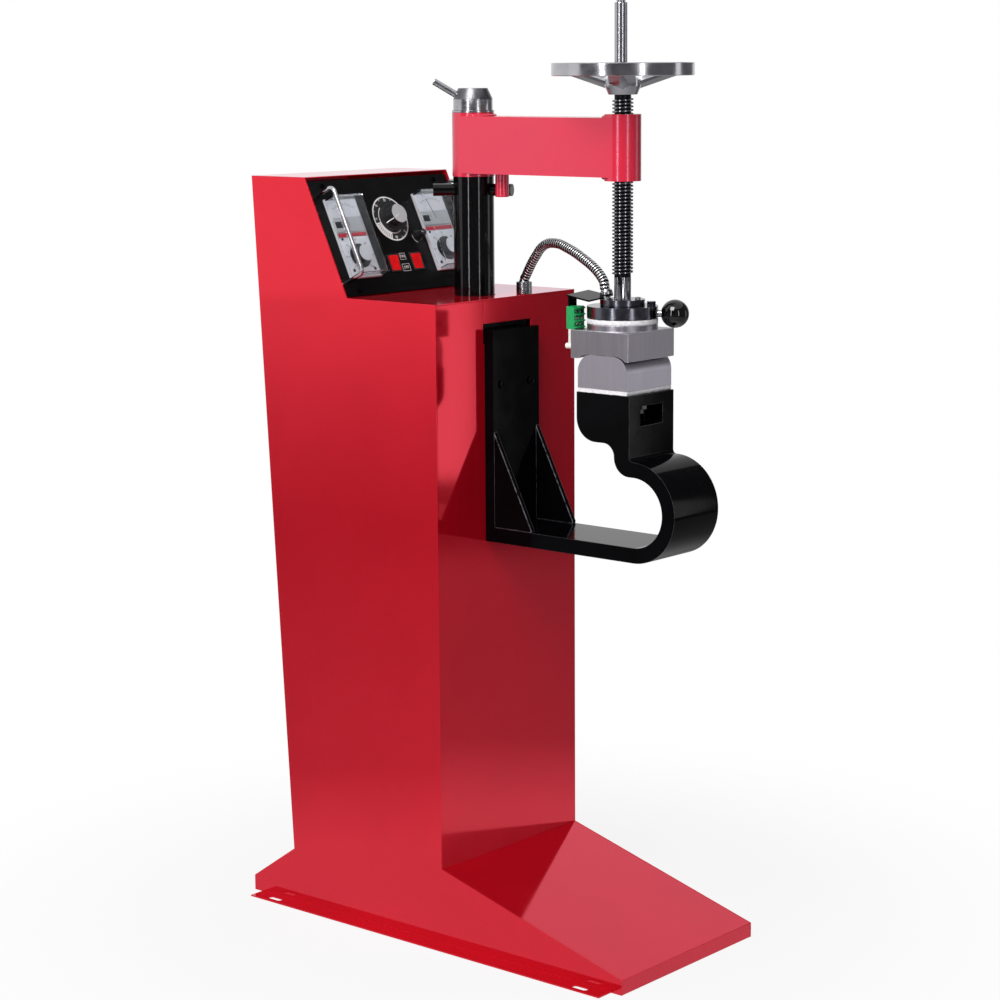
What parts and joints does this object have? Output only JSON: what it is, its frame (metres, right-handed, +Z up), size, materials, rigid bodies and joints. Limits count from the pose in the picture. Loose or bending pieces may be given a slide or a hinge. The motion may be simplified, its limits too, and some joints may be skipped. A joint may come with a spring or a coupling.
{
  "type": "pedestal tyre vulcanizer",
  "caption": "Pedestal tyre vulcanizer: a sheet steel cabinet with control panel, fixed lower mould on a bowed arm, and a swinging arm whose hand screw lowers a heated upper mould.",
  "frame": {"origin": "middle of the footprint's bounding box on the floor, under the base", "axes": "+Z up; -Y to the front, where the tyre goes; +X to the right seen from the front"},
  "size_m": [0.371, 0.743, 1.3726],
  "materials": {
    "red_paint": "gloss",
    "black_paint": "gloss",
    "arm_red": "gloss",
    "panel_black": "satin",
    "steel": "satin",
    "dark_steel": "satin",
    "chrome": "polished",
    "aluminium": "machined",
    "wheel_aluminium": "polished",
    "bronze": "satin",
    "insulation": "matte",
    "black_plastic": "gloss",
    "grey_plastic": "satin",
    "dark_plastic": "satin",
    "clear_plastic": "clear",
    "scale_white": "satin",
    "red_plastic": "gloss",
    "green_plastic": "satin",
    "lead_white": "matte",
    "conduit_steel": "galvanised"
  },
  "bodies": {
    "cabinet": {"left_side_panel": "red_paint", "right_side_panel": "red_paint", "front_panel": "red_paint", "slot_filler": "red_paint", "ledge_plate": "red_paint", "ramp_plate": "red_paint", "rear_base_plate": "red_paint", "rear_panel": "red_paint", "console_top": "red_paint", "control_panel": "panel_black", "panel_screws": "dark_steel", "guard_handles": "chrome", "controllers": "grey_plastic", "controller_covers": "clear_plastic", "timer_body": "scale_white", "switch_frames": "black_plastic", "rear_gland": "dark_plastic", "frame_spine": "black_paint", "post": "black_paint", "pivot_stud": "steel", "ledge_gland": "steel", "heater_conduit": "conduit_steel", "bracket_plate": "black_paint", "bracket_gussets": "black_paint", "bracket_bolts": "dark_steel", "lower_arm": "black_paint", "lower_insulation": "insulation", "lower_mould": "aluminium", "mould_bolt": "steel", "lower_heaters": "steel"},
    "arm": {"swing_arm": "arm_red", "arm_bush": "bronze", "screw_nut": "bronze", "stop_lug": "arm_red"},
    "clamp": {"clamp_nut": "steel", "clamp_lever": "steel"},
    "head": {"upper_mould": "aluminium", "upper_insulation": "insulation", "upper_heaters": "steel", "bearing_housing": "dark_steel", "thrust_bearing": "steel", "retainer_plate": "dark_steel", "retainer_screws": "steel", "terminal_bracket": "black_paint", "terminal_block": "green_plastic", "heater_leads": "lead_white"},
    "lock": {"lock_ring": "dark_steel", "lock_bolt": "dark_steel", "lock_lever": "steel", "ball_knob": "black_plastic"},
    "spindle": {"screw": "dark_steel", "handwheel": "wheel_aluminium", "crank_stud": "steel"},
    "crank": {"crank_grip": "chrome"},
    "timer_dial": {"timer_knob": "aluminium"},
    "left_setpoint": {"left_setpoint_knob": "dark_plastic"},
    "right_setpoint": {"right_setpoint_knob": "dark_plastic"},
    "selector": {"selector_knob": "dark_plastic"},
    "rocker_l": {"left_rocker": "red_plastic"},
    "rocker_r": {"right_rocker": "red_plastic"}
  },
  "joints": [
    {"name": "arm_swing", "type": "hinge", "parent": "cabinet", "child": "arm", "pos_m": [0, 0.037, 1.17], "axis": [0, 0, 1], "range_deg": [-45, 0], "deforming": ["heater_conduit"]},
    {"name": "clamp_turn", "type": "hinge", "parent": "cabinet", "child": "clamp", "pos_m": [0, 0.037, 1.23], "axis": [0, 0, 1], "range_deg": [0, 120]},
    {"name": "press_lift", "type": "slide", "parent": "arm", "child": "head", "axis": [0, 0, 1], "range_m": [0, 0.1005], "deforming": ["heater_conduit"]},
    {"name": "screw_spin", "type": "hinge", "parent": "head", "child": "spindle", "pos_m": [0, -0.24, 1], "axis": [0, 0, 1], "range_deg": [0, 7200], "deforming": ["heater_conduit"]},
    {"name": "lock_turn", "type": "hinge", "parent": "head", "child": "lock", "pos_m": [0, -0.24, 0.9327], "axis": [0, 0, 1], "range_deg": [0, 60]},
    {"name": "crank_spin", "type": "hinge", "parent": "spindle", "child": "crank", "pos_m": [-0.07281, -0.2929, 1.33], "axis": [0, 0, 1], "continuous": true},
    {"name": "timer_turn", "type": "hinge", "parent": "cabinet", "child": "timer_dial", "pos_m": [-0.0045, 0.19743, 1.05827], "axis": [0, -0.9026, 0.4305], "range_deg": [-300, 0]},
    {"name": "left_setpoint_turn", "type": "hinge", "parent": "cabinet", "child": "left_setpoint", "pos_m": [-0.101, 0.17327, 1.00762], "axis": [0, -0.9026, 0.4305], "range_deg": [-270, 0]},
    {"name": "right_setpoint_turn", "type": "hinge", "parent": "cabinet", "child": "right_setpoint", "pos_m": [0.092, 0.17327, 1.00762], "axis": [0, -0.9026, 0.4305], "range_deg": [-270, 0]},
    {"name": "selector_turn", "type": "hinge", "parent": "cabinet", "child": "selector", "pos_m": [0.0415, 0.18425, 1.03065], "axis": [0, -0.9026, 0.4305], "range_deg": [-90, 0]},
    {"name": "left_rocker_tip", "type": "hinge", "parent": "cabinet", "child": "rocker_l", "pos_m": [-0.0295, 0.17004, 0.99156], "axis": [1, 0, 0], "range_deg": [-18, 0]},
    {"name": "right_rocker_tip", "type": "hinge", "parent": "cabinet", "child": "rocker_r", "pos_m": [0.0205, 0.17004, 0.99156], "axis": [1, 0, 0], "range_deg": [-18, 0]}
  ],
  "couplings": [
    {"joint": "press_lift", "follows": "screw_spin", "m_per_rad": 0.00079577}
  ]
}
